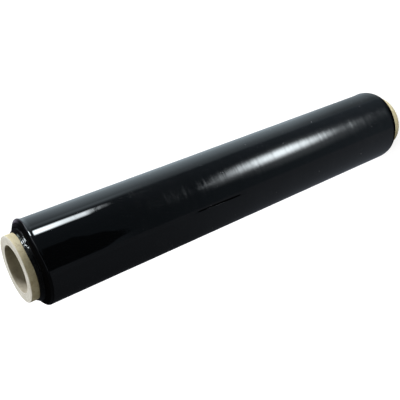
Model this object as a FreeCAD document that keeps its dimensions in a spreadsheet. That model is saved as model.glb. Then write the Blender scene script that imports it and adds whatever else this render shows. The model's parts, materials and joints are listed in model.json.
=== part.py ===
import FreeCAD, Part
import math
import os
import Sketcher

# One roll of black stretch film on its paperboard core, standing on one cut end of the core.
# The frame: origin on the axis at the core's lower cut end, +Z up along the axis, millimetres.
# The core is one wound and glued tube. The film is one web, so all its turns are one solid.
# At both ends the inner turns stand out furthest and lie bunched on the core as a collar,
# and the outer turns fall back to a rounded rim.

# Driving dimensions: name, millimetres or degrees or count, what it is
SIZES = [
    ("coreBore", 50, "inside diameter of the core, for the dispenser's spindle"),
    ("coreWall", 10, "thickness of the core's paperboard wall"),
    ("coreLength", 536, "length of the core from cut end to cut end"),
    ("coreEdge", 0.6, "flat worn on each cut edge of the core"),
    ("filmWidth", 497, "width of the roll between its two outer rims"),
    ("filmBuild", 10.3, "radial thickness of all the turns together"),
    ("headBare", 8, "bare core above the film's innermost turns"),
    ("footBare", 11, "bare core below the film's innermost turns"),
    ("collarTurns", 3, "bundles of turns that step down the collar"),
    ("collarBuild", 3.2, "radial thickness of the collar"),
    ("collarDrop", 4.2, "how far the collar's outside lies back from its inside"),
    ("creaseWide", 0.7, "width of the crease between collar and shoulder"),
    ("creaseDeep", 1.2, "depth of that crease below the collar's outside"),
    ("shoulderTurns", 3, "bundles of turns that step down the shoulder"),
    ("shoulderBuild", 4.0, "radial thickness of the shoulder"),
    ("shoulderRise", 0.8, "how far the shoulder's inside lies back from the collar's outside"),
    ("shoulderDrop", 1.9, "how far the shoulder's outside lies back from its inside"),
    ("turnStep", 0.5, "share of each bundle's drop that is a sharp step"),
    ("rimRound", 2.6, "radius of the rounded outer rim"),
    ("filmSpare", 0.3, "film turned past the full radius and cut back to the last turn"),
    ("tailStep", 0.35, "height of the loose tail's edge on the last turn"),
    ("tailAngle", 286, "angle of the tail's edge about the axis, from +X"),
]

# Radii and heights that several sketches share, as formulas on the sheet
CORE_RADIUS = "(Sizes.coreBore / 2 + Sizes.coreWall)"
FILM_RADIUS = "(Sizes.coreBore / 2 + Sizes.coreWall + Sizes.filmBuild)"
RIM_DROP = "((Sizes.coreLength - Sizes.headBare - Sizes.footBare - Sizes.filmWidth) / 2)"

START = 1
END = 2
CENTRE = 3
ORIGIN = -1
X_AXIS = -1
UP = FreeCAD.Vector(0, 0, 1)

# The rough ring that an outline starts from, before its formulas shape it
ROUGH_CENTRE = 60
ROUGH_RADIUS = 40


def make_sheet(doc):
    """Put every driving dimension in the sheet under its own name."""
    sheet = doc.addObject("Spreadsheet::Sheet", "Sizes")
    for row, (name, value, meaning) in enumerate(SIZES, start=1):
        sheet.set(f"A{row}", meaning)
        sheet.set(f"B{row}", str(value))
        sheet.setAlias(f"B{row}", name)
    doc.recompute()
    return sheet


def plane_sketch(body, name, role):
    """Attach a new sketch to one of the body's own origin planes."""
    sketch = body.newObject("Sketcher::SketchObject", name)
    plane = next(item for item in body.Origin.OriginFeatures if item.Role == role)
    sketch.AttachmentSupport = [(plane, "")]
    sketch.MapMode = "FlatFace"
    return sketch


def bind(sketch, name, constraint, formula):
    """Add a named constraint whose value follows a formula on the sheet."""
    number = sketch.addConstraint(constraint)
    sketch.renameConstraint(number, name)
    sketch.setExpression(f"Constraints.{name}", formula)


def outline(sketch, corners):
    """Draw a closed outline of straight edges through corners given as (radius, height) formulas.

    The edges start as a rough ring, and each corner's two formulas then pull it to its place.
    """
    count = len(corners)
    ring = Part.Circle(FreeCAD.Vector(ROUGH_CENTRE, ROUGH_CENTRE, 0), UP, ROUGH_RADIUS)
    rough = [ring.value(math.tau * place / count) for place in range(count)]
    for place in range(count):
        sketch.addGeometry(Part.LineSegment(rough[place], rough[(place + 1) % count]), False)
    for place in range(count):
        sketch.addConstraint(Sketcher.Constraint("Coincident", place, END, (place + 1) % count, START))
    for place, (radius, height) in enumerate(corners):
        across = Sketcher.Constraint("DistanceX", ORIGIN, START, place, START, rough[place].x)
        along = Sketcher.Constraint("DistanceY", ORIGIN, START, place, START, rough[place].y)
        bind(sketch, f"radius{place}", across, radius)
        bind(sketch, f"height{place}", along, height)


def ring_edges(shape):
    """Give the name and radius of each closed circular edge of a shape."""
    return [
        (f"Edge{number}", edge.Curve.Radius) for number, edge in enumerate(shape.Edges, start=1)
        if isinstance(edge.Curve, Part.Circle) and edge.isClosed()
    ]


def rim_edges(shape):
    """Name the widest circular edges of a shape."""
    rings = ring_edges(shape)
    widest = max(radius for name, radius in rings)
    return [name for name, radius in rings if math.isclose(radius, widest)]


def make_core(doc):
    """The paperboard tube: a ring drawn on the ground and raised, with its four cut edges eased."""
    body = doc.addObject("PartDesign::Body", "Core")
    body.Label = "core_tube"
    ring = plane_sketch(body, "CoreRing", "XY_Plane")
    for place, (name, formula) in enumerate((("bore", "Sizes.coreBore / 2"), ("outside", CORE_RADIUS))):
        circle = Part.Circle(FreeCAD.Vector(), UP, ROUGH_RADIUS + place)
        ring.addGeometry(circle, False)
        ring.addConstraint(Sketcher.Constraint("Coincident", place, CENTRE, ORIGIN, START))
        bind(ring, name, Sketcher.Constraint("Radius", place, ROUGH_RADIUS + place), formula)
    tube = body.newObject("PartDesign::Pad", "CoreTube")
    tube.Profile = ring
    tube.setExpression("Length", "Sizes.coreLength")
    doc.recompute()
    eased = body.newObject("PartDesign::Chamfer", "CoreEdges")
    eased.Base = (tube, [name for name, radius in ring_edges(tube.Shape)])
    eased.setExpression("Size", "Sizes.coreEdge")
    return body


def end_corners(sheet):
    """Corners of one end of the film from the core outwards, as (radius, drop) formulas.

    The drop is measured back from the film's innermost, furthest turn. A bundle of turns is a
    sloping face with a sharp step after it, so both collar and shoulder are small staircases.
    """
    corners = [(CORE_RADIUS, "0")]
    runs = (
        ("collar", CORE_RADIUS, "0"),
        ("shoulder", f"{CORE_RADIUS} + Sizes.collarBuild + Sizes.creaseWide",
         "Sizes.collarDrop + Sizes.shoulderRise"),
    )
    for run, inside, start in runs:
        if run == "shoulder":
            corners.append((f"{inside} - Sizes.creaseWide / 2", "Sizes.collarDrop + Sizes.creaseDeep"))
            corners.append((inside, start))
        bundles = int(sheet.get(f"{run}Turns"))
        for bundle in range(1, bundles + 1):
            radius = f"{inside} + Sizes.{run}Build * {bundle} / {bundles}"
            slope_end = f"{start} + Sizes.{run}Drop * ({bundle} - Sizes.turnStep) / {bundles}"
            step_end = f"{start} + Sizes.{run}Drop * {bundle} / {bundles}"
            corners += [(radius, slope_end), (radius, step_end)]
    corners.append((f"{FILM_RADIUS} + Sizes.filmSpare", RIM_DROP))
    return corners


def make_film(doc, sheet):
    """The wound film: half its section turned about the axis, rims rounded, cut to its last turn."""
    body = doc.addObject("PartDesign::Body", "Film")
    body.Label = "film_roll"
    section = plane_sketch(body, "FilmSection", "XZ_Plane")
    ends = end_corners(sheet)
    head = [(radius, f"Sizes.coreLength - Sizes.headBare - ({drop})") for radius, drop in ends]
    foot = [(radius, f"Sizes.footBare + {drop}") for radius, drop in ends]
    outline(section, foot + head[::-1])
    turned = body.newObject("PartDesign::Revolution", "FilmTurned")
    turned.Profile = section
    turned.ReferenceAxis = (section, ["V_Axis"])
    turned.Angle = 360
    doc.recompute()
    rims = body.newObject("PartDesign::Fillet", "FilmRims")
    rims.Base = (turned, rim_edges(turned.Shape))
    rims.setExpression("Radius", "Sizes.rimRound")
    doc.recompute()
    tail = body.newObject("PartDesign::Pocket", "FilmLastTurn")
    tail.Profile = draw_last_turn(body)
    tail.Reversed = True
    tail.setExpression("Length", "Sizes.coreLength")
    doc.recompute()
    if not tail.Shape.Volume < rims.Shape.Volume:
        raise RuntimeError("the cut to the last turn takes nothing off the film")
    return body


def draw_last_turn(body):
    """All that lies outside the last turn: a circle around a spiral of two half circles.

    The first half keeps the full radius. The second has its centre moved by half the tail's
    thickness, so the outline comes back to the tail's edge one thickness lower, at a sharp step.
    """
    sketch = plane_sketch(body, "LastTurn", "XY_Plane")
    sketch.AttachmentOffset = FreeCAD.Placement(FreeCAD.Vector(), FreeCAD.Rotation(UP, 1))
    sketch.setExpression("AttachmentOffset.Rotation.Angle", "Sizes.tailAngle")
    halves = [Part.ArcOfCircle(Part.Circle(FreeCAD.Vector(), UP, ROUGH_RADIUS), start, start + math.pi)
              for start in (0, math.pi)]
    step = Part.LineSegment(FreeCAD.Vector(ROUGH_RADIUS - 1, 0, 0), FreeCAD.Vector(ROUGH_RADIUS, 0, 0))
    around = Part.Circle(FreeCAD.Vector(), UP, ROUGH_RADIUS + 1)
    full, under, edge, clear = sketch.addGeometry([*halves, step, around], False)
    joins = ((full, END, under, START), (under, END, edge, START), (edge, END, full, START),
             (full, CENTRE, ORIGIN, START), (clear, CENTRE, ORIGIN, START))
    for join in joins:
        sketch.addConstraint(Sketcher.Constraint("Coincident", *join))
    for curve, place in ((full, START), (full, END), (under, CENTRE), (under, END)):
        sketch.addConstraint(Sketcher.Constraint("PointOnObject", curve, place, X_AXIS))
    radii = (("full", full, FILM_RADIUS), ("under", under, f"{FILM_RADIUS} - Sizes.tailStep / 2"),
             ("clear", clear, f"{FILM_RADIUS} + 2 * Sizes.filmSpare"))
    for name, curve, formula in radii:
        bind(sketch, name, Sketcher.Constraint("Radius", curve, ROUGH_RADIUS), formula)
    return sketch


def check(doc, pieces):
    """Stop if any object failed, or if a piece isn't one sound solid."""
    for item in doc.Objects:
        if "Invalid" in item.State or "Error" in item.State:
            raise RuntimeError(f"{item.Label} failed: {item.State}")
    for piece in pieces:
        shape = piece.Shape
        if shape.isNull() or not shape.isValid() or len(shape.Solids) != 1:
            raise RuntimeError(f"{piece.Label} isn't one valid solid")


def main():
    """Build the roll, check it and write one file for each piece."""
    doc = FreeCAD.newDocument("StretchWrapRoll")
    sheet = make_sheet(doc)
    pieces = [make_core(doc), make_film(doc, sheet)]
    doc.recompute()
    check(doc, pieces)
    os.makedirs("parts", exist_ok=True)
    for piece in pieces:
        piece.Shape.exportStep(f"parts/{piece.Label}.step")
        print(piece.Label, round(piece.Shape.Volume), "cubic millimetres", piece.Shape.BoundBox)


main()
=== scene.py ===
import json
import math

import bpy
import numpy as np
from mathutils import Matrix, Vector


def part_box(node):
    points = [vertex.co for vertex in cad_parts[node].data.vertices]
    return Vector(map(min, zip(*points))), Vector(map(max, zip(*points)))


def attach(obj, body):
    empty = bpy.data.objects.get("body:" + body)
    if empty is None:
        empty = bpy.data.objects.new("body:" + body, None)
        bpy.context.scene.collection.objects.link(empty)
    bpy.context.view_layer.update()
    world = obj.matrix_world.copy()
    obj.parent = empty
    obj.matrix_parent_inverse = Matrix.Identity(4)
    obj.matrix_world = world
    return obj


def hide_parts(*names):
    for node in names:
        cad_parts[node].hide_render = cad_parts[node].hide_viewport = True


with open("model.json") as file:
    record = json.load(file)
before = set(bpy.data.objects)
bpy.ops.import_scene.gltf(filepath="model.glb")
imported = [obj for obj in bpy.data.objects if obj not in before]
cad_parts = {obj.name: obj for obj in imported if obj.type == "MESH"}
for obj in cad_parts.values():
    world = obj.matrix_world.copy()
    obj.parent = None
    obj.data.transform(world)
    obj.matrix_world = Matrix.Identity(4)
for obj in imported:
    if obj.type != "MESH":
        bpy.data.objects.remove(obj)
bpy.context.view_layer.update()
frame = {"record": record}

# A roll of black stretch film wound on a paperboard core, standing on the core's cut end.
# Metres, +Z up along the roll's axis, origin at the foot of the axis.

MM = 0.001
FULL_TURN = 2 * math.pi
rng = np.random.default_rng(41)

# Sizes that the frame gives
core_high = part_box("core_tube")[1]
film_low, film_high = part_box("film_roll")
mounts = {mount["name"]: mount for mount in frame["record"]["mounts"]}
CORE_LENGTH = core_high.z
CORE_RADIUS = core_high.x
BORE_RADIUS = mounts["core_bore"]["dims"]["r_mm"] * MM
FILM_RADIUS = film_high.x
FILM_TOP = film_high.z
FILM_FOOT = film_low.z
MIDDLE = CORE_LENGTH / 2

# The film's ends, from the innermost turns outwards
COLLAR_BUILD = 3.2 * MM
COLLAR_DROP = 4.2 * MM
CREASE_WIDE = 0.7 * MM
CREASE_DROP = 5.4 * MM
SHOULDER_BUILD = 4.0 * MM
SHOULDER_START = 5.0 * MM
SHOULDER_DROP = 1.9 * MM
RIM_DROP = 10.0 * MM
RIM_POINTS = 9
BUNDLES = 3

# The loose tail of the last turn, its angle about the axis from +X
TAIL_ANGLE = math.radians(286)
TAIL_STEP = 0.35 * MM
LIFT_HEIGHT = 318 * MM
LIFT_REACH = 28 * MM


def grid_piece(name, points, sharp_angle):
    """Close a grid of points both ways into one piece of four-sided faces.

    Row i joins row i + 1, column j joins column j + 1, and the last of each joins the first.
    Columns run anticlockwise about the axis and rows anticlockwise round the section, so that
    the faces point outwards.
    """
    index = np.arange(points.shape[0] * points.shape[1]).reshape(points.shape[:2])
    beside = np.roll(index, -1, axis=1)
    faces = np.stack([index, beside, np.roll(beside, -1, axis=0), np.roll(index, -1, axis=0)], axis=-1)
    mesh = bpy.data.meshes.new(name)
    mesh.from_pydata(points.reshape(-1, 3).tolist(), [], faces.reshape(-1, 4).tolist())
    mesh.shade_smooth()
    mesh.set_sharp_from_angle(angle=math.radians(sharp_angle))
    piece = bpy.data.objects.new(name, mesh)
    bpy.context.scene.collection.objects.link(piece)
    return piece


def around(radius, height, angle):
    """Points at a radius, height and angle about the axis."""
    return np.stack([radius * np.cos(angle), radius * np.sin(angle), height + 0 * angle], axis=-1)


def hump(x, centre, width):
    """A bell, 1 at its centre, that falls to about a third at one width from it."""
    return np.exp(-((x - centre) / width) ** 2)


def off_round(angle, centre):
    """The angle about the axis from a centre, brought to half a turn either way."""
    return (angle - centre + math.pi) % FULL_TURN - math.pi


def bell_round(angle, bell):
    """A bell about the axis, told by its size, and its centre and width in degrees."""
    size, centre, width = bell
    return size * hump(off_round(angle, math.radians(centre)), 0, math.radians(width))


def blend_in(x, start, end):
    """0 before start, 1 after end, and a smooth step between them."""
    t = np.clip((x - start) / (end - start), 0, 1)
    return t * t * (3 - 2 * t)


# The wound film

FILM_COLUMNS = 460
HEAD_ROWS = 96
FOOT_ROWS = 64
BODY_ROWS = 50
END_REACH = 18 * MM
COLLAR_STEP = 0.85
SHOULDER_STEP = 0.5
FILM_SHARP = 40

# The tail: how its columns crowd, the sliver between the last and the first column, and its skew
TAIL_CROWDING = 0.8
TAIL_GAP = 0.0003
TAIL_TURN = math.radians(0.6)
TAIL_SLANT = math.radians(4.5)
TAIL_SWAY = math.radians(0.5)
TAIL_SWAYS = 9
GAP_DEEP = 0.03 * MM
GAP_LIFTED = 0.8 * MM
GAP_WIDE = 1.9 * MM

# The waves of the web, as (depth, length along the axis)
FINE_WAVE = (0.035 * MM, 6.1 * MM)
BROAD_WAVE = (0.05 * MM, 17 * MM)
ROUND_WAVE = (0.03 * MM, 60 * MM)

# The folds of the collar
PUCKERS = 64
PUCKER_LEAN = 0.25
PUCKER_SIZE = (0.04 * MM, 0.14 * MM)
PUCKER_WIDE = (0.012, 0.05)
PUCKER_OUT = 0.4

# How far bundles of turns have slid along the axis, as bells of size, centre and width in degrees
RIM_RISE = (3.0 * MM, -30, 35)
RIM_SUNK = 0.5 * MM
COLLAR_RISE = (1.3 * MM, -32, 24)
COLLAR_SINK = (1.3 * MM, 70, 60)
COLLAR_BACK_SINK = (0.6 * MM, -150, 35)
FOOT_FALL = (4.2 * MM, -4, 44)
END_BLEND = (16 * MM, 9 * MM)
OUTER_BLEND = (3.5 * MM, 6 * MM)

# The beads on the rims: bells round the axis, and their sizes across the rim
CROWN = (1.0, 40, 50)
BEAD_LOW = 0.08 * MM
BEAD_HIGH = 1.32 * MM
BEAD_ABOVE_RIM = 0.9 * MM
BEAD_UP = 1.7 * MM
BEAD_UP_CROWN = 0.5 * MM
BEAD_DOWN = 2.5 * MM
FOOT_BEAD = (1.0 * MM, 38, 27)
FOOT_BEAD_REACH = 2.6 * MM
BEAD_BLEND = (2.4 * MM, 0.3 * MM)
FOOT_TAPER = 0.6 * MM
TAPER_START = 15 * MM
TAPER_LENGTH = 5 * MM

# The place on the upper collar where turns lie flat and gathered
FLAT_CENTRE = math.radians(-18.5)
FLAT_HALF = 0.24
FLAT_SHARE = 0.32
GATHER_OFF = math.radians(4)
GATHER_WIDE = math.radians(6)
GATHER_END = 0.02
PARTING_OFF = math.radians(-1.5)
PARTING_WIDE = math.radians(1.0)
PARTING_SHARE = 0.8
GATHER_BLEND = (0.4 * MM, 1.2 * MM)
GATHER_REACH = 3.3 * MM
GATHER_BUILD = 2.5 * MM


def end_section(rows, reach):
    """Half of the film's section at one end: radius and drop, from the core out to the side.

    The drop is measured back from the innermost turn. Bundles of turns make a small staircase
    down the collar and down the shoulder, with a crease between them and a rounded rim. The path
    goes on along the side to the given reach. It is resampled evenly and its corners rounded by
    averaging each point with its neighbours.
    """
    radius = [CORE_RADIUS]
    drop = [0.0]
    runs = ((CORE_RADIUS, COLLAR_BUILD, 0.0, COLLAR_DROP, COLLAR_STEP),
            (CORE_RADIUS + COLLAR_BUILD + CREASE_WIDE, SHOULDER_BUILD, SHOULDER_START, SHOULDER_DROP,
             SHOULDER_STEP))
    for inside, build, start, fall, step in runs:
        if start:
            radius += [inside - CREASE_WIDE / 2, inside]
            drop += [CREASE_DROP, start]
        for bundle in range(1, BUNDLES + 1):
            radius += [inside + build * bundle / BUNDLES] * 2
            drop += [start + fall * (bundle - step) / BUNDLES, start + fall * bundle / BUNDLES]
    rim_radius = FILM_RADIUS - radius[-1]
    rim_start = drop[-1]
    bend = rim_start + rim_radius * SHOULDER_DROP / SHOULDER_BUILD
    part = np.linspace(0, 1, RIM_POINTS)[1:]
    drop += list((1 - part) ** 2 * rim_start + 2 * part * (1 - part) * bend + part ** 2 * RIM_DROP)
    radius += list(FILM_RADIUS - rim_radius * (1 - part) ** 2)
    radius.append(FILM_RADIUS)
    drop.append(reach)
    path = np.array([radius, drop])
    length = np.concatenate([[0], np.cumsum(np.hypot(*np.diff(path, axis=1)))])
    even = np.linspace(0, length[-1], rows)
    path = np.array([np.interp(even, length, line) for line in path])
    path[:, 1:-1] = (path[:, :-2] + 2 * path[:, 1:-1] + path[:, 2:]) / 4
    return path


def film_rows():
    """Radius and height of the film's rows, from the innermost turn of the foot to the head's."""
    foot = end_section(FOOT_ROWS, END_REACH)
    head = end_section(HEAD_ROWS, END_REACH)[:, ::-1]
    body_height = np.linspace(FILM_FOOT + END_REACH, FILM_TOP - END_REACH, BODY_ROWS + 2)[1:-1]
    foot = np.array([foot[0], FILM_FOOT + foot[1]])
    head = np.array([head[0], FILM_TOP - head[1]])
    body = np.array([np.full(BODY_ROWS, FILM_RADIUS), body_height])
    return np.concatenate([foot, body, head], axis=1)[:, :, None]


def film_columns(height):
    """Each column's part of the last turn, and its angle on every row.

    Columns crowd together towards the tail's edge, which climbs on a slight slant and sways.
    """
    part = np.linspace(0, 1, FILM_COLUMNS, endpoint=False)[None, :]
    part = part - TAIL_CROWDING * np.sin(FULL_TURN * part) / FULL_TURN
    part = part * (1 - TAIL_GAP)
    along = (height - MIDDLE) / MIDDLE
    skew = TAIL_TURN + TAIL_SLANT * along + TAIL_SWAY * np.sin(TAIL_SWAYS * along)
    return part, TAIL_ANGLE + skew + FULL_TURN * part


def last_turn(part, height):
    """How far the last turn lies below the full radius.

    It falls by the tail's thickness over the turn, so that first and last column make the tail's
    step, and further in a narrow gap under the stretch of the tail that has lifted.
    """
    lift = hump(height, LIFT_HEIGHT, LIFT_REACH) ** 2
    behind = (1 - part) * FULL_TURN * FILM_RADIUS
    gap = (GAP_DEEP + GAP_LIFTED * lift) * np.exp(-(behind / GAP_WIDE) ** 8)
    return TAIL_STEP * part ** 2 + gap


def web_waves(height, angle):
    """Depth of the long shallow waves where the web was pulled unevenly: the size of the sum of
    three sines, of the height and of the angle."""
    fine, fine_length = FINE_WAVE
    broad, broad_length = BROAD_WAVE
    shallow, shallow_length = ROUND_WAVE
    waves = fine * np.sin(height / fine_length + 1.3 * np.sin(angle + 1))
    waves = waves + broad * np.sin(height / broad_length + 0.8 * np.sin(2 * angle))
    waves = waves + shallow * np.sin(5 * angle + height / shallow_length)
    return np.abs(waves)


def collar_puckers(angle, reach):
    """Folds of the bunched inner turns, as a height that is added outwards.

    Each pucker is a narrow bell across the turn, leaning a little along the collar. They are
    spread round at random.
    """
    height = np.zeros(np.broadcast(angle, reach).shape)
    spread = rng.uniform(0, FULL_TURN, PUCKERS)
    lean = rng.uniform(-PUCKER_LEAN, PUCKER_LEAN, PUCKERS)
    size = rng.uniform(*PUCKER_SIZE, PUCKERS)
    wide = rng.uniform(*PUCKER_WIDE, PUCKERS)
    for place, slant, tall, width in zip(spread, lean, size, wide):
        height += tall * hump(off_round(angle - slant * reach, place), 0, width)
    return height


def flat_turns(radius, angle, collar, at_head):
    """The place on the upper collar where the turns lie flat and gathered, as a change of radius.

    Within reach of its centre the collar's round is pressed flatter, by the square of the angle.
    On one side of the centre the bundles are pulled out or in to one radius, with a parting.
    """
    off = np.clip(off_round(angle, FLAT_CENTRE), -FLAT_HALF, FLAT_HALF)
    flat = at_head * collar * CORE_RADIUS * FLAT_SHARE * (off ** 2 - FLAT_HALF ** 2)
    gather = hump(np.abs(off), GATHER_OFF, GATHER_WIDE) * (off < GATHER_END) * at_head
    gather = gather * (1 - PARTING_SHARE * hump(off, PARTING_OFF, PARTING_WIDE))
    start, full = GATHER_BLEND
    bunched = blend_in(radius, CORE_RADIUS + start, CORE_RADIUS + full)
    bunched = bunched * (radius < CORE_RADIUS + GATHER_REACH)
    return flat + gather * bunched * (CORE_RADIUS + GATHER_BUILD - radius)


def rim_beads(radius, angle, above, below):
    """The raised bead of each rim, as a height outwards: a bell across the rim's line.

    The upper one is highest and widest round its crown, and reaches further down than up.
    """
    crown = bell_round(angle, CROWN)
    reach = np.where(above > 0, BEAD_UP + BEAD_UP_CROWN * crown, BEAD_DOWN)
    bead = (BEAD_LOW + BEAD_HIGH * crown) * hump(above, 0, reach)
    bead = bead + bell_round(angle, FOOT_BEAD) * hump(below, 0, FOOT_BEAD_REACH)
    start, full = BEAD_BLEND
    return bead * blend_in(radius, FILM_RADIUS - start, FILM_RADIUS - full)


def wound_film():
    """The film: its section carried once round the axis, radius and height worked out on a grid.

    From the full radius the last turn's spiral and the web's waves are taken off. Both ends lean,
    as turns do that have slid along the axis: bells round the axis raise or lower the rims and
    the upper collar. Beads on the rims, the collar's puckers and its flat turns are added, and
    the lower end tapers a little.
    """
    radius, height = film_rows()
    part, angle = film_columns(height)
    fullness = blend_in(radius, CORE_RADIUS + COLLAR_BUILD, FILM_RADIUS)
    reach = np.clip((radius - CORE_RADIUS) / COLLAR_BUILD, 0, 2)
    collar = blend_in(reach, 0, 0.35) * (1 - blend_in(reach, 1.0, 1.9))
    puckers = collar_puckers(angle, reach) * collar
    far, near = END_BLEND
    at_head = blend_in(height, FILM_TOP - far, FILM_TOP - near)
    at_foot = blend_in(height, FILM_FOOT + far, FILM_FOOT + near)
    inside, outside = OUTER_BLEND
    outer = blend_in(radius, CORE_RADIUS + inside, CORE_RADIUS + outside)
    rim_slide = bell_round(angle, RIM_RISE) - RIM_SUNK
    collar_slide = bell_round(angle, COLLAR_RISE) - bell_round(angle, COLLAR_SINK)
    collar_slide = collar_slide - bell_round(angle, COLLAR_BACK_SINK)
    foot_slide = -outer * bell_round(angle, FOOT_FALL)
    slide = at_head * (outer * rim_slide + (1 - outer) * collar_slide) + at_foot * foot_slide
    above = height + slide - (FILM_TOP - RIM_DROP + rim_slide) - BEAD_ABOVE_RIM
    below = FILM_FOOT + RIM_DROP + foot_slide - height - slide
    bead = rim_beads(radius, angle, above, below)
    taper = FOOT_TAPER * np.clip((FILM_FOOT + TAPER_START - height) / TAPER_LENGTH, 0, 1) ** 2
    out = radius - fullness * (last_turn(part, height) + web_waves(height, angle))
    out = out + bead - taper * outer + PUCKER_OUT * puckers
    out = out + flat_turns(radius, angle, collar, at_head)
    up = height + slide + np.sign(height - MIDDLE) * puckers
    film = grid_piece("wound_film", around(out, up, angle), FILM_SHARP)
    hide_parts("film_roll")
    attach(film, "root")
    return film


# The paperboard core

CORE_COLUMNS = 248
PLIES = 16
PLY_ROWS = 49
WALL_ROWS = 150
SEAM_PITCH = 92 * MM
SEAM_DEPTH = 0.16 * MM
SEAM_WIDTH = 0.5 * MM
CUT_ROUND = 0.7 * MM
PLY_RELIEF = 0.09 * MM
CORE_SHARP = 35


def seam_groove(height, angle, lead):
    """Depth of the butt joint of one spiral ply: a narrow groove that climbs lead per turn."""
    off = (height - lead * angle / FULL_TURN) % abs(lead)
    off = np.minimum(off, abs(lead) - off)
    return SEAM_DEPTH * np.exp(-(off / SEAM_WIDTH) ** 2)


def paper_core():
    """The core: a ring's section carried round the axis.

    Both cut ends show their plies as shallow ripples across the wall, a little ragged round the
    turn, and the cut edges are rounded. Each wall carries the groove of its spiral seam.
    """
    wall = CORE_RADIUS - BORE_RADIUS
    across = np.linspace(0, 1, PLY_ROWS)
    rounding = CUT_ROUND * (1 - np.sqrt(1 - np.clip(1 - across * wall / CUT_ROUND, 0, 1) ** 2))
    rounding = np.maximum(rounding, rounding[::-1])
    side = np.linspace(0, 1, WALL_ROWS + 2)[1:-1]
    side_height = CUT_ROUND + (CORE_LENGTH - 2 * CUT_ROUND) * side
    cut_radius = BORE_RADIUS + wall * across
    radius = np.concatenate([cut_radius, np.full(WALL_ROWS, CORE_RADIUS),
                             cut_radius[::-1], np.full(WALL_ROWS, BORE_RADIUS)])[:, None]
    height = np.concatenate([rounding, side_height,
                             CORE_LENGTH - rounding[::-1], side_height[::-1]])[:, None]
    depth = np.concatenate([across, np.ones(WALL_ROWS), across[::-1], np.zeros(WALL_ROWS)])[:, None]
    on_cut = np.tile(np.repeat([1.0, 0.0], [PLY_ROWS, WALL_ROWS]), 2)[:, None]
    angle = np.linspace(0, FULL_TURN, CORE_COLUMNS, endpoint=False)[None, :]
    inner = on_cut * blend_in(depth, 0, 0.08) * (1 - blend_in(depth, 0.92, 1))
    ragged = 0.5 + 0.3 * np.sin(7 * angle + 9 * depth) + 0.2 * np.sin(23 * angle - 31 * depth)
    ripple = PLY_RELIEF * (0.5 - 0.5 * np.cos(FULL_TURN * PLIES * depth)) * ragged * inner
    outer = seam_groove(height, angle, SEAM_PITCH) * (depth == 1) * (1 - on_cut)
    bore = seam_groove(height, angle, -SEAM_PITCH) * (depth == 0) * (1 - on_cut)
    out = radius - outer + bore
    up = height - np.sign(height - MIDDLE) * ripple
    core = grid_piece("paper_core", around(out, up, angle), CORE_SHARP)
    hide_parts("core_tube")
    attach(core, "root")
    return core


class Wire:
    """One output of a node, with arithmetic that adds the Math nodes for it."""

    def __init__(self, bench, socket):
        self.bench = bench
        self.socket = socket

    def __add__(self, other):
        return self.bench.math("ADD", self, other)

    def __sub__(self, other):
        return self.bench.math("SUBTRACT", self, other)

    def __rsub__(self, other):
        return self.bench.math("SUBTRACT", other, self)

    def __mul__(self, other):
        return self.bench.math("MULTIPLY", self, other)

    def __truediv__(self, other):
        return self.bench.math("DIVIDE", self, other)

    def __pow__(self, other):
        return self.bench.math("POWER", self, other)

    __radd__ = __add__
    __rmul__ = __mul__


class Bench:
    """The node tree of one finish, and the one way that nodes are added to it."""

    def __init__(self, tree):
        self.tree = tree
        tree.nodes.clear()

    def node(self, kind, settings=None, inputs=None, output=0):
        """Add a node, set it up, then give its sockets their values or links."""
        made = self.tree.nodes.new("ShaderNode" + kind)
        for name, value in (settings or {}).items():
            setattr(made, name, value)
        for name, value in (inputs or {}).items():
            if isinstance(value, Wire):
                self.tree.links.new(value.socket, made.inputs[name])
            else:
                made.inputs[name].default_value = value
        return Wire(self, made.outputs[output]) if made.outputs else None

    def math(self, operation, *values):
        """Add a Math node, the arithmetic of numbers."""
        return self.node("Math", {"operation": operation}, dict(enumerate(values)))

    def step(self, value, start, end):
        """0 before start, 1 after end, smooth between; end may be below start."""
        settings = {"interpolation_type": "SMOOTHSTEP"}
        if start > end:
            return 1 - self.step(value, end, start)
        return self.node("MapRange", settings, {"Value": value, "From Min": start, "From Max": end})

    def window(self, value, low, high, soft):
        """1 between low and high, 0 outside, smooth over the given softness at both ends."""
        return self.step(value, low - soft, low + soft) * self.step(value, high + soft, high - soft)

    def mix(self, factor, first, second):
        """Mix two colours."""
        settings = {"data_type": "RGBA"}
        colours = [(*c, 1) if isinstance(c, tuple) else c for c in (first, second)]
        return self.node("Mix", settings, {0: factor, 6: colours[0], 7: colours[1]}, output=2)

    def scaled(self, vector, scale):
        """A vector times another, part by part."""
        return self.node("VectorMath", {"operation": "MULTIPLY"}, {0: vector, 1: scale})

    def noise(self, vector, scale, detail, rough):
        """Smooth noise from 0 to 1 over a vector, finer with more detail."""
        inputs = {"Vector": vector, "Scale": scale, "Detail": detail, "Roughness": rough}
        return self.node("TexNoise", {}, inputs)

    def pattern(self, place, stretch, scale, detail, rough):
        """Noise over a place that is first stretched along its three axes."""
        return self.noise(self.scaled(place, stretch), scale, detail, rough)

    def split(self, vector):
        """The three parts of a vector."""
        made = self.tree.nodes.new("ShaderNodeSeparateXYZ")
        self.tree.links.new(vector.socket, made.inputs[0])
        return [Wire(self, part) for part in made.outputs]


def new_finish(name, kind=Bench):
    """A fresh material and the bench of its nodes, of the given kind."""
    material = bpy.data.materials.new(name)
    material.use_nodes = True
    return material, kind(material.node_tree)


# The film's finish. A pattern is its stretch along x, y and z, its scale, detail and roughness.
# A cut is where in the pattern's values its marks begin and where they are full. The two
# stretches are told by how far below the film's top they end.

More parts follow.
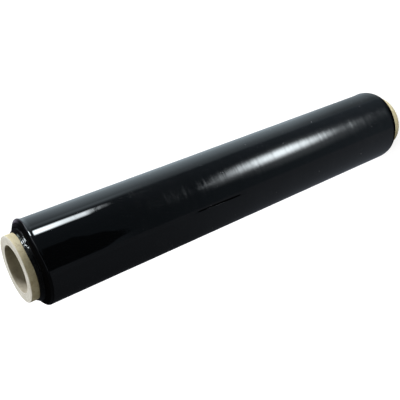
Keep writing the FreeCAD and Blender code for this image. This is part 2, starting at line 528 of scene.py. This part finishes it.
SMOOTH_STRETCH = (80 * MM, 135 * MM)
CLEAR_STRETCH = (66 * MM, 100 * MM)
UNSTRETCHED = (1, 1, 1)
LINES = ((14, 14, 620), 1, 3, 0.6)
BANDS = ((5, 5, 170), 1, 2, 0.5)
BLISTERS = ((1, 1, 1.8), 160, 2, 0.5)
DUST = (UNSTRETCHED, 900, 3, 0.7)
SCUFFS = ((1, 1, 2.5), 42, 4, 0.62)
SPECKS = (UNSTRETCHED, 260, 1, 0.5)
TURNS_ROUND = 6
TURNS_ACROSS = 1500
LINE_CUT = (0.45, 0.7)
DUST_CUT = (0.55, 0.8)
SCUFF_CUT = (0.45, 0.72)
SPECK_CUT = (0.785, 0.80)

FILM_BLACK = (0.0012, 0.0012, 0.0013)
DUST_GREY = (0.004, 0.004, 0.0042)
SCUFF_GREY = (0.004, 0.0038, 0.004)
SCUFF_SHARE = 0.8
SPECK_GREY = (0.09, 0.09, 0.09)
# A painted sheen for the upper collar, pale grey-green
PAINTED_SHEEN_GREY = (0.12, 0.14, 0.115)
# The flat black of painted shade and painted shadow
PAINTED_SHADE_BLACK = (0.002, 0.002, 0.002)

FILM_BUMP = 0.06 * MM
LINE_RELIEF = 0.22
BAND_RELIEF = 0.8
BLISTER_RELIEF = 0.25
TURN_RELIEF = 0.5
SMOOTH_ROUGH = 0.035
TAUT_ROUGH = 0.02
LINE_ROUGH = 0.09
SCUFF_ROUGH = 0.03

# Places on the upper collar, for the painted sheen and the painted shade: angles from +X in degrees,
# build on the core, drop from the top
PAINTED_SHEEN_BUILD = (1.7 * MM, 1.2 * MM)
PAINTED_SHEEN_DROP = (4 * MM, 3 * MM)
PAINTED_SHEEN_SIDES = ((-11, -6), (14, 6))
PAINTED_SHEEN_CUT = (0.3, 0.55)
FOLD_SIDES = ((-13, -10.5), (90, 60))
FOLD_DROP = (RIM_DROP, 7 * MM)
FOLD_BUILD = (4 * MM, 3 * MM)
CREASE_BUILD = (3.0 * MM, 3.4 * MM)
PAINTED_SHADE_SHARE = 0.9

# Depths below the film's full radius: of the painted shadow under the lifted tail, of the painted shade
# in the creases, and of the end faces' turn edges
HOLLOW_DEPTH = (0.49 * MM, 0.56 * MM)
CREASE_DEPTH = (1.3 * MM, 2.6 * MM)
END_FACE_DEPTH = (0.4 * MM, 1.4 * MM)


class FilmBench(Bench):
    """The bench of the film's finish, with the places that its looks change by."""

    def __init__(self, tree):
        super().__init__(tree)
        self.place = self.node("TexCoord", output="Object")
        self.x, self.y, self.height = self.split(self.place)
        self.radius = self.math("SQRT", self.x * self.x + self.y * self.y)
        self.angle = self.math("ARCTAN2", self.y, self.x) * math.degrees(1)

    def below_top(self, start, end):
        """A smooth step over two drops from the film's top."""
        return self.step(self.height, FILM_TOP - start, FILM_TOP - end)

    def over_core(self, start, end):
        """A smooth step over two builds of turns on the core."""
        return self.step(self.radius, CORE_RADIUS + start, CORE_RADIUS + end)

    def inside_film(self, start, end):
        """A smooth step over two depths below the film's full radius."""
        return self.step(self.radius, FILM_RADIUS - start, FILM_RADIUS - end)

    def sides(self, rise, drop):
        """1 between two angles about the axis, each with its own smooth step."""
        return self.step(self.angle, *rise) * self.step(self.angle, *drop)

    def turn_edges(self):
        """Noise across the turns on the end faces, where their edges show."""
        across = {0: self.x * TURNS_ROUND, 1: self.y * TURNS_ROUND, 2: self.radius * TURNS_ACROSS}
        return self.noise(self.node("CombineXYZ", {}, across), 1, 2, 0.6)

    def painted_sheen(self, blisters):
        """Where the upper collar carries a painted sheen, in patches: its inner turns, on one side."""
        painted_sheen = self.over_core(*PAINTED_SHEEN_BUILD) * self.below_top(*PAINTED_SHEEN_DROP) * self.sides(*PAINTED_SHEEN_SIDES)
        return painted_sheen * self.step(blisters, *PAINTED_SHEEN_CUT)

    def painted_shade_places(self):
        """Where painted shade takes the place of the film's gloss: a painted shadow in the gap under
        the lifted tail, painted shade in the creases between collar and rim, and on one side of the
        upper collar, where its folds look into each other."""
        low = FILM_FOOT + RIM_DROP
        on_side = self.step(self.height, low, low + MM) * self.below_top(RIM_DROP, RIM_DROP + MM)
        hollow = self.inside_film(*HOLLOW_DEPTH) * on_side
        crease = self.over_core(*CREASE_BUILD) * self.inside_film(*CREASE_DEPTH)
        folds = self.sides(*FOLD_SIDES) * self.below_top(*FOLD_DROP) * self.over_core(*FOLD_BUILD)
        return self.math("MAXIMUM", folds * PAINTED_SHADE_SHARE, hollow + crease * PAINTED_SHADE_SHARE)


def black_film():
    """Black stretch film: mirror-smooth for a stretch below the upper end, finely lined elsewhere.

    The lines run round the roll, where the web was pulled taut. Over the black lie faint dust and
    scuffs, a few pale specks below the smooth stretch and a painted sheen on the upper collar. In
    the creases, in the gap under the lifted tail and among the upper collar's folds the gloss gives
    way to flat black, as painted shade. Lined and scuffed places are a little rougher.
    """
    material, bench = new_finish("stretch_film_black", FilmBench)
    taut = bench.below_top(*SMOOTH_STRETCH)
    lines = bench.pattern(bench.place, *LINES)
    blisters = bench.pattern(bench.place, *BLISTERS)
    relief = lines * taut * LINE_RELIEF + bench.pattern(bench.place, *BANDS) * taut * BAND_RELIEF
    relief = relief + blisters * bench.below_top(*CLEAR_STRETCH) * BLISTER_RELIEF
    relief = relief + bench.turn_edges() * bench.inside_film(*END_FACE_DEPTH) * TURN_RELIEF
    bump = bench.node("Bump", {}, {"Strength": 1.0, "Distance": FILM_BUMP, "Height": relief})
    scuffed = bench.step(bench.pattern(bench.place, *SCUFFS), *SCUFF_CUT) * taut
    speck = bench.step(bench.pattern(bench.place, *SPECKS), *SPECK_CUT) * taut
    # The painted sheen of the upper collar, mixed into the colours below
    painted_sheen = bench.painted_sheen(blisters)
    dusty = bench.step(bench.pattern(bench.place, *DUST), *DUST_CUT)
    colour = bench.mix(dusty, FILM_BLACK, DUST_GREY)
    colour = bench.mix(scuffed * SCUFF_SHARE, colour, SCUFF_GREY)
    colour = bench.mix(speck, colour, SPECK_GREY)
    colour = bench.mix(painted_sheen, colour, PAINTED_SHEEN_GREY)
    rough = bench.step(lines, *LINE_CUT) * LINE_ROUGH + scuffed * SCUFF_ROUGH
    gloss = bench.node("BsdfPrincipled", {}, {
        "Base Color": colour, "Roughness": SMOOTH_ROUGH + taut * (TAUT_ROUGH + rough),
        "Normal": bump, "IOR": 1.5})
    # Flat black for the painted shade, pale where the painted sheen lies on the upper collar
    painted_shade = bench.node("BsdfPrincipled", {}, {
        "Base Color": bench.mix(painted_sheen, PAINTED_SHADE_BLACK, PAINTED_SHEEN_GREY),
        "Roughness": 1.0, "Specular IOR Level": 0.0})
    # Painted shade: the gloss gives way to flat black in the creases, in the gap under the lifted tail
    # and among the upper collar's folds
    surface = bench.node("MixShader", {}, {0: bench.painted_shade_places(), 1: gloss, 2: painted_shade})
    bench.node("OutputMaterial", {}, {"Surface": surface})
    return material


# The paperboard. Shades are a darker and a paler colour, patterns and cuts are as the film's,
# and the last number of a mark's cut is how strongly it shows.

FIBRES = ((900, 900, 300), 1, 4, 0.65)
CLOUDS = (UNSTRETCHED, 60, 3, 0.6)
STAINS = ((1, 1, 1.6), 190, 4, 0.65)
FLECKS = (UNSTRETCHED, 420, 2, 0.5)
PLIES_ROUND = 20
PLIES_ACROSS = 2600
CLOUD_CUT = (0.35, 0.65)
FIBRE_CUT = (0.45, 0.75, 0.5)
STAIN_CUT = (0.52, 0.68, 0.45)
PLY_CUT = (0.35, 0.7)
SMUDGE_CUT = (0.62, 0.4, 0.35)
FLECK_CUT = (0.69, 0.74, 0.7)
WALL_SHADES = ((0.56, 0.50, 0.30), (0.67, 0.62, 0.40))
CUT_SHADES = ((0.58, 0.56, 0.46), (0.77, 0.76, 0.66))
# The bore's shades are darker than the wall's, partly as painted shade of the tube's inside
BORE_SHADES = ((0.31, 0.28, 0.20), (0.45, 0.415, 0.30))
FIBRE_BROWN = (0.42, 0.35, 0.19)
STAIN_BROWN = (0.36, 0.28, 0.14)
SMUDGE_BROWN = (0.42, 0.40, 0.31)
FLECK_BROWN = (0.10, 0.08, 0.05)
CUT_DEPTH = (0.8 * MM, 0.32 * MM)
BORE_EDGE = 0.5 * MM
BOARD_BUMP = 0.12 * MM
FIBRE_RELIEF = 0.6
CLOUD_RELIEF = 0.4
BOARD_ROUGH = 0.85
FIBRE_ROUGH = 0.1


def paperboard():
    """Wound paperboard: a cream wall with long fibres and brown stains, paler cut ends that show
    their plies and a few smudges, and a bore with flecks, darker partly in its own colour and
    partly as painted shade."""
    material, bench = new_finish("core_paperboard")
    place = bench.node("TexCoord", output="Object")
    x, y, height = bench.split(place)
    radius = bench.math("SQRT", x * x + y * y)
    fibres = bench.pattern(place, *FIBRES)
    clouds = bench.pattern(place, *CLOUDS)
    across = {0: x * PLIES_ROUND, 1: y * PLIES_ROUND, 2: radius * PLIES_ACROSS}
    plies = bench.noise(bench.node("CombineXYZ", {}, across), 1, 2, 0.6)

    def marked(colour, pattern, cut, brown):
        """A colour with a pattern's marks on it."""
        start, full, share = cut
        return bench.mix(bench.step(pattern, start, full) * share, colour, brown)

    clouded = bench.step(clouds, *CLOUD_CUT)
    wall = marked(bench.mix(clouded, *WALL_SHADES), fibres, FIBRE_CUT, FIBRE_BROWN)
    wall = marked(wall, bench.pattern(place, *STAINS), STAIN_CUT, STAIN_BROWN)
    cut = bench.mix(bench.step(plies, *PLY_CUT), *CUT_SHADES)
    cut = marked(cut, clouds, SMUDGE_CUT, SMUDGE_BROWN)
    # The bore's colour, darkened in part as painted shade
    bore = bench.mix(clouded, *BORE_SHADES)
    bore = marked(bore, bench.pattern(place, *FLECKS), FLECK_CUT, FLECK_BROWN)
    start, full = CUT_DEPTH
    upper = bench.step(height, CORE_LENGTH - start, CORE_LENGTH - full)
    lower = bench.step(height, start, full)
    colour = bench.mix(upper + lower, wall, cut)
    colour = bench.mix(bench.step(radius, BORE_RADIUS + BORE_EDGE, BORE_RADIUS), colour, bore)
    relief = fibres * FIBRE_RELIEF + clouds * CLOUD_RELIEF
    bump = bench.node("Bump", {}, {"Strength": 0.6, "Distance": BOARD_BUMP, "Height": relief})
    surface = bench.node("BsdfPrincipled", {}, {
        "Base Color": colour, "Roughness": BOARD_ROUGH + fibres * FIBRE_ROUGH,
        "Normal": bump, "IOR": 1.4})
    bench.node("OutputMaterial", {}, {"Surface": surface})
    return material


# The camera, as measured on the photograph: its place in film radii from the roll's middle, and
# its level and tilt with the roll thought of as lying on its side

PHOTO_SIDE = 400
FOCAL_PIXELS = 637.85
SENSOR = 36.0
CLIP_END = 100.0
CAMERA_IN_RADII = Vector((8.743, -10.857, 9.163))
CAMERA_YAW = math.radians(37.063)
CAMERA_PITCH = math.radians(33.228)


def stand_up(vector):
    """Turn a direction from the lying roll to the standing one: its near end becomes the top."""
    x, y, z = vector
    return Vector((z, y, -x))


def photo_camera():
    """The photograph's camera: looking down at the roll, rolled so that the roll lies slantwise."""
    level = math.cos(CAMERA_PITCH)
    look = Vector((level * math.sin(CAMERA_YAW), level * math.cos(CAMERA_YAW), -math.sin(CAMERA_PITCH)))
    right = Vector((math.cos(CAMERA_YAW), -math.sin(CAMERA_YAW), 0))
    look, right = stand_up(look), stand_up(right)
    up = right.cross(look)
    data = bpy.data.cameras.new("photo_camera")
    data.sensor_width = SENSOR
    data.lens = FOCAL_PIXELS / PHOTO_SIDE * SENSOR
    data.clip_end = CLIP_END
    camera = bpy.data.objects.new("photo_camera", data)
    place = Vector((0, 0, MIDDLE)) + CAMERA_IN_RADII * FILM_RADIUS
    turn = Matrix((right, up, -look)).transposed().to_4x4()
    camera.matrix_world = Matrix.Translation(place) @ turn
    bpy.context.scene.collection.objects.link(camera)
    bpy.context.scene.camera = camera


# The studio that the film mirrors. A direction is told by its bearing about the axis, in degrees
# from -Y towards -X, and by its fall, the sine of the angle that it points down by. A span is its
# low end, its high end and the softness of both.

WALL_TINT = (0.84, 1.0, 1.10)
FRONT_TINT = (0.78, 1.0, 1.20)
FLOOR_TINT = (0.88, 0.98, 1.13)
LAMP_TINT = (0.92, 1.0, 1.04)
SHEEN_TINT = (1.0, 0.92, 1.18)
FILL_LIGHT = (0.076, 0.067, 0.05)
WHITE = (1.0, 1.0, 1.0)

# Where walls and floor come in below the level, and go out above straight down
LEVEL_IN = (0.02, 0.22)
LEVEL_OUT = (0.88, 0.78)

# The pale wall: stretches of bearing that each add a light, and of fall that add or take some
WALL_STEPS = ((-117, -129, 0.57), (-125, -155, 0.38), (139, 144, 0.6), (160, 178, 0.35))
WALL_STRIP = (-134, -126, 2)
WALL_STRIP_END = (0.46, 0.38, 0.35)
WALL_LIGHT = 0.86
WALL_DOWN = ((0.27, 0.34, 0.14), (0.5, 0.6, -0.08), (0.64, 0.71, -0.4))

# The dim front and its dark patch, whose upper edge slants: bearing against fall
FRONT_SIDE = (-125, -2, 3)
FRONT_LIGHT = 0.10
FRONT_NEAR = (-70, -98, 0.02)
FRONT_LOW = (0.38, 0.72, 0.1)
PATCH_TOP = 0.32
PATCH_SLANT = 430
PATCH_START = -202
PATCH_RAG = 9
PATCH_SOFT = 1.5
PATCH_FOOT = -3
PATCH_FOOT_STEP = (0.34, 0.40, -14)
PATCH_END = (0.4, 0.38)
PATCH_SHADE = 0.75

# The dim floor, and the strip of it beside the patch
FLOOR_SIDE = (-2, 141, 2)
FLOOR_LIGHT = 0.14
FLOOR_LOW = (0.35, 0.72, 0.11)
FLOOR_EDGE = (-2, 12, 3)
FLOOR_EDGE_END = (0.54, 0.46, 0.02)
FLOOR_FAR = (15, 105)
FLOOR_FAR_SHADE = 0.75
FLOOR_FAR_LOW = (0.45, 0.72, 0.5)
BESIDE_SIDE = (-30, -2, 0.5)
BESIDE_END = (0.42, 0.38, 0.05)

# The ceiling, its lit band and the sheen
CEILING = (0.0, -0.1, 0.03)
BAND = (-0.5, -0.28, 0.06)
BAND_SIDES = (((-150, -80, 8), 1.5), ((-80, 0, 8), 0.5))
SHEEN = (-0.25, -0.02, 0.12)
SHEEN_BACK = ((-105, -135, 0.45), (130, 160, 0.45))
SHEEN_BELOW = (0.92, 0.96, 0.1)

# The near lamp, its glow and the bits at its foot
NEAR_LAMP_SIDE = (-116, -103, 3)
NEAR_LAMP_DROP = (-0.02, 0.351, 0.006)
NEAR_LAMP_LIGHT = 28
NEAR_LAMP_DIM = (0.27, 0.345, 15)
GLOW_DROP = (-0.1, 0.13, 0.05)
GLOW_SIDES = (((-150, -112, 8), 3.5), ((-112, -66, 12), 1.2))
BITS_SIDE = (-115, -106, 3)
BITS_IN = (0.3, 0.34)
BITS_OUT = (0.388, 0.366, 6)
BITS_LINES = 300
BITS_CUT = (0.4, 0.62)

# The far lamp: its bearing leans over a stretch of fall. Ovals are a bearing and its reach, a
# fall and its reach, and how far in they are plain.
FAR_LAMP_SIDE = -55.5
FAR_LAMP_LEAN = (0.52, 0.585, -8.5)
FAR_LAMP_OVAL = (25, 0.623, 0.106, 0.1)
FAR_LAMP_LIGHT = 20.5
SKIRT_OVAL = (-59, 39, 0.64, 0.12, 0.3)
SKIRT_LIGHT = 0.8
FAN_OVAL = (26, 0.558, 0.051, 0.0)
FAN_LINES = 400
FAN_STREAK = 2.88
FAN_LIGHT = 0.36
SPARK_OVAL = (-55, 8, 0.522, 0.004, 0.0)
SPARK_LIGHT = 7


class Room:
    """The light of the studio's parts, worked out on a bench from a direction's bearing and fall."""

    def __init__(self, bench, bearing, fall):
        self.bench = bench
        self.bearing = bearing
        self.fall = fall

    def bearings(self, low, high, soft):
        """1 within a span of bearings, 0 outside it."""
        return self.bench.window(self.bearing, low, high, soft)

    def falls(self, low, high, soft):
        """1 within a span of falls, 0 outside it."""
        return self.bench.window(self.fall, low, high, soft)

    def past_bearing(self, start, end, light=1):
        """A light that comes in smoothly over a stretch of bearings."""
        return self.bench.step(self.bearing, start, end) * light

    def past_fall(self, start, end, light=1):
        """A light that comes in smoothly over a stretch of falls."""
        return self.bench.step(self.fall, start, end) * light

    def lit_sides(self, sides):
        """The sum of lights that each fill a span of bearings."""
        return sum(self.bearings(*span) * light for span, light in sides)

    def lines(self, scale):
        """Noise in level lines, which changes with the fall alone."""
        along = self.bench.node("CombineXYZ", {}, {0: self.fall * scale})
        return self.bench.noise(along, 1, 1, 0.5)

    def oval(self, side, side_reach, drop, drop_reach, plain):
        """An oval of light at a bearing and a fall: 1 in its plain middle, 0 past its reach."""
        across = (self.bearing - side) / side_reach
        down = (self.fall - drop) / drop_reach
        return self.bench.step(self.bench.math("SQRT", across * across + down * down), 1, plain)

    def wall(self):
        """The pale wall behind: brighter round the back, with a paler strip, dimmer lower down."""
        wall = sum(self.past_bearing(*stretch) for stretch in WALL_STEPS)
        wall = wall + self.bearings(*WALL_STRIP) * self.past_fall(*WALL_STRIP_END)
        return wall * (WALL_LIGHT + sum(self.past_fall(*stretch) for stretch in WALL_DOWN))

    def past_foot(self, start, end):
        """How far a bearing lies past the foot of the dark patch, as a smooth step."""
        foot = self.past_fall(*PATCH_FOOT_STEP) + PATCH_FOOT
        return self.bench.step(self.bearing - foot, start, end)

    def front(self):
        """The dim side in front, with a dark patch that ends raggedly on a slant."""
        dim = FRONT_LIGHT + self.past_bearing(*FRONT_NEAR) + self.past_fall(*FRONT_LOW)
        place = self.bench.node("CombineXYZ", {}, {0: self.fall * 90, 1: self.bearing * 0.05})
        rag = self.bench.noise(place, 1, 2, 0.6) * PATCH_RAG
        edge = self.bench.math("MAXIMUM", self.fall, PATCH_TOP) * PATCH_SLANT + PATCH_START + rag
        patch = self.bench.step(self.bearing - edge, -PATCH_SOFT, PATCH_SOFT)
        patch = patch * self.past_foot(PATCH_SOFT, -PATCH_SOFT) * self.past_fall(*PATCH_END)
        return self.bearings(*FRONT_SIDE) * dim * (1 - patch * PATCH_SHADE)

    def floor(self):
        """The dim floor, a little lighter beside the dark patch and dimmer to the far side."""
        floor = self.bearings(*FLOOR_SIDE) * (FLOOR_LIGHT + self.past_fall(*FLOOR_LOW))
        floor = floor + self.bearings(*FLOOR_EDGE) * self.past_fall(*FLOOR_EDGE_END)
        far_side = self.past_bearing(*FLOOR_FAR) * (FLOOR_FAR_SHADE - self.past_fall(*FLOOR_FAR_LOW))
        beside = self.bearings(*BESIDE_SIDE) * self.past_fall(*BESIDE_END)
        return floor * (1 - far_side) + beside * self.past_foot(-PATCH_SOFT, PATCH_SOFT)

    def ceiling(self):
        """The dark ceiling, with a lit band that only surfaces tilted up can mirror."""
        return self.past_fall(*CEILING) + self.falls(*BAND) * self.lit_sides(BAND_SIDES)

    def sheen(self):
        """A faint violet light near the level round the back, and straight below."""
        back = sum(self.past_bearing(*stretch) for stretch in SHEEN_BACK)
        return self.falls(*SHEEN) * back + self.past_fall(*SHEEN_BELOW)

    def near_lamp(self):
        """The tall narrow lamp near the upper end, with a glow above it and bits at its foot."""
        lamp = self.bearings(*NEAR_LAMP_SIDE) * self.falls(*NEAR_LAMP_DROP)
        lamp = lamp * (NEAR_LAMP_LIGHT - self.past_fall(*NEAR_LAMP_DIM))
        glow = self.lit_sides(GLOW_SIDES) * self.falls(*GLOW_DROP)
        bits = self.bench.step(self.lines(BITS_LINES), *BITS_CUT) * self.bearings(*BITS_SIDE)
        return lamp + glow + bits * self.past_fall(*BITS_OUT) * self.past_fall(*BITS_IN)

    def far_lamp(self):
        """The broad lamp towards the lower end: an oval that leans, a skirt of light round it, a
        streaked fan at its upper edge and a small spark."""
        side = self.past_fall(*FAR_LAMP_LEAN) + FAR_LAMP_SIDE
        lamp = self.oval(side, *FAR_LAMP_OVAL) ** 2 * FAR_LAMP_LIGHT
        lamp = lamp + self.oval(*SKIRT_OVAL) * SKIRT_LIGHT + self.oval(*SPARK_OVAL) * SPARK_LIGHT
        return lamp + self.oval(side, *FAN_OVAL) * (self.lines(FAN_LINES) * FAN_STREAK + FAN_LIGHT)


def studio_world():
    """The studio round the roll: plain light for rough surfaces, white for the camera, and for
    glossy ones a room of a pale wall, a dim floor and front and two soft lamps.

    The wall, the floor and the front reach from the level to nearly straight down.
    """
    world = bpy.data.worlds.new("studio")
    bpy.context.scene.world = world
    world.use_nodes = True
    world.cycles.sampling_method = "NONE"
    bench = Bench(world.node_tree)
    x, y, z = bench.split(bench.node("TexCoord", output="Generated"))
    bearing = bench.math("ARCTAN2", x * -1, y * -1) * math.degrees(1)
    room = Room(bench, bearing, z * -1)
    level = room.past_fall(*LEVEL_IN) * room.past_fall(*LEVEL_OUT)
    parts = (
        (room.wall() * level, WALL_TINT),
        (room.front() * level, FRONT_TINT),
        (room.floor() * level + room.ceiling(), FLOOR_TINT),
        (room.near_lamp() + room.far_lamp(), LAMP_TINT),
        (room.sheen(), SHEEN_TINT),
    )
    mirrored = (0.0, 0.0, 0.0)
    for light, tint in parts:
        tinted = bench.scaled(bench.node("CombineXYZ", {}, {0: light, 1: light, 2: light}), tint)
        mirrored = bench.node("VectorMath", {"operation": "ADD"}, {0: mirrored, 1: tinted})
    colour = bench.mix(bench.node("LightPath", output="Is Glossy Ray"), FILL_LIGHT, mirrored)
    colour = bench.mix(bench.node("LightPath", output="Is Camera Ray"), colour, WHITE)
    background = bench.node("Background", {}, {"Color": colour, "Strength": 1.0})
    bench.node("OutputWorld", {}, {"Surface": background})


def studio_lamp(name, direction, strength, size, colour):
    """A broad, far lamp that shines towards the roll from a direction; gloss doesn't show it."""
    data = bpy.data.lights.new(name, "SUN")
    data.color = colour
    data.energy = strength
    data.angle = math.radians(size)
    lamp = bpy.data.objects.new(name, data)
    lamp.matrix_world = Vector(direction).to_track_quat("Z", "Y").to_matrix().to_4x4()
    lamp.visible_glossy = False
    bpy.context.scene.collection.objects.link(lamp)


FOOT_LAMP_PLACE = Vector((0.62, -0.42, 0.10))
FOOT_LAMP_AIM = Vector((0, 0, 0.005))
FOOT_LAMP_SIDE = 0.15
FOOT_LAMP_POWER = 0.085
FOOT_LAMP_SPREAD = math.radians(24)


def foot_lamp():
    """A small lamp low in front of the roll, for the bare foot of the core."""
    data = bpy.data.lights.new("foot_lamp", "AREA")
    data.energy = FOOT_LAMP_POWER
    data.size = FOOT_LAMP_SIDE
    data.spread = FOOT_LAMP_SPREAD
    lamp = bpy.data.objects.new("foot_lamp", data)
    turn = (FOOT_LAMP_AIM - FOOT_LAMP_PLACE).to_track_quat("-Z", "Y").to_matrix().to_4x4()
    lamp.matrix_world = Matrix.Translation(FOOT_LAMP_PLACE) @ turn
    lamp.visible_glossy = False
    lamp.visible_camera = False
    bpy.context.scene.collection.objects.link(lamp)


FLOOR_HALF = 30.0
FLOOR_GREY = (0.35, 0.35, 0.35, 1)
FLOOR_GLOW = 0.86


def studio_floor():
    """A pale floor that keeps the roll's shadow and is otherwise white to the camera."""
    half = FLOOR_HALF
    mesh = bpy.data.meshes.new("floor")
    corners = [(-half, -half, 0), (half, -half, 0), (half, half, 0), (-half, half, 0)]
    mesh.from_pydata(corners, [], [(0, 1, 2, 3)])
    floor = bpy.data.objects.new("floor", mesh)
    bpy.context.scene.collection.objects.link(floor)
    floor.visible_glossy = False
    material, bench = new_finish("floor_pale")
    seen = bench.node("LightPath", output="Is Camera Ray")
    pale = bench.node("BsdfDiffuse", {}, {"Color": FLOOR_GREY})
    glow = bench.node("Emission", {}, {"Color": (*WHITE, 1), "Strength": seen * FLOOR_GLOW})
    surface = bench.node("AddShader", {}, {0: pale, 1: glow})
    bench.node("OutputMaterial", {}, {"Surface": surface})
    mesh.materials.append(material)


film = wound_film()
film.data.materials.append(black_film())
core = paper_core()
core.data.materials.append(paperboard())
photo_camera()
studio_world()
studio_lamp("top_lamp", (0.15, 0.1, 1.0), 2.0, 60, (1.0, 1.0, 1.03))
studio_lamp("side_lamp", (0.72, 0.72, 0.25), 3.5, 18, (0.98, 1.0, 1.16))
foot_lamp()
studio_floor()
bpy.context.scene.view_settings.view_transform = "Standard"
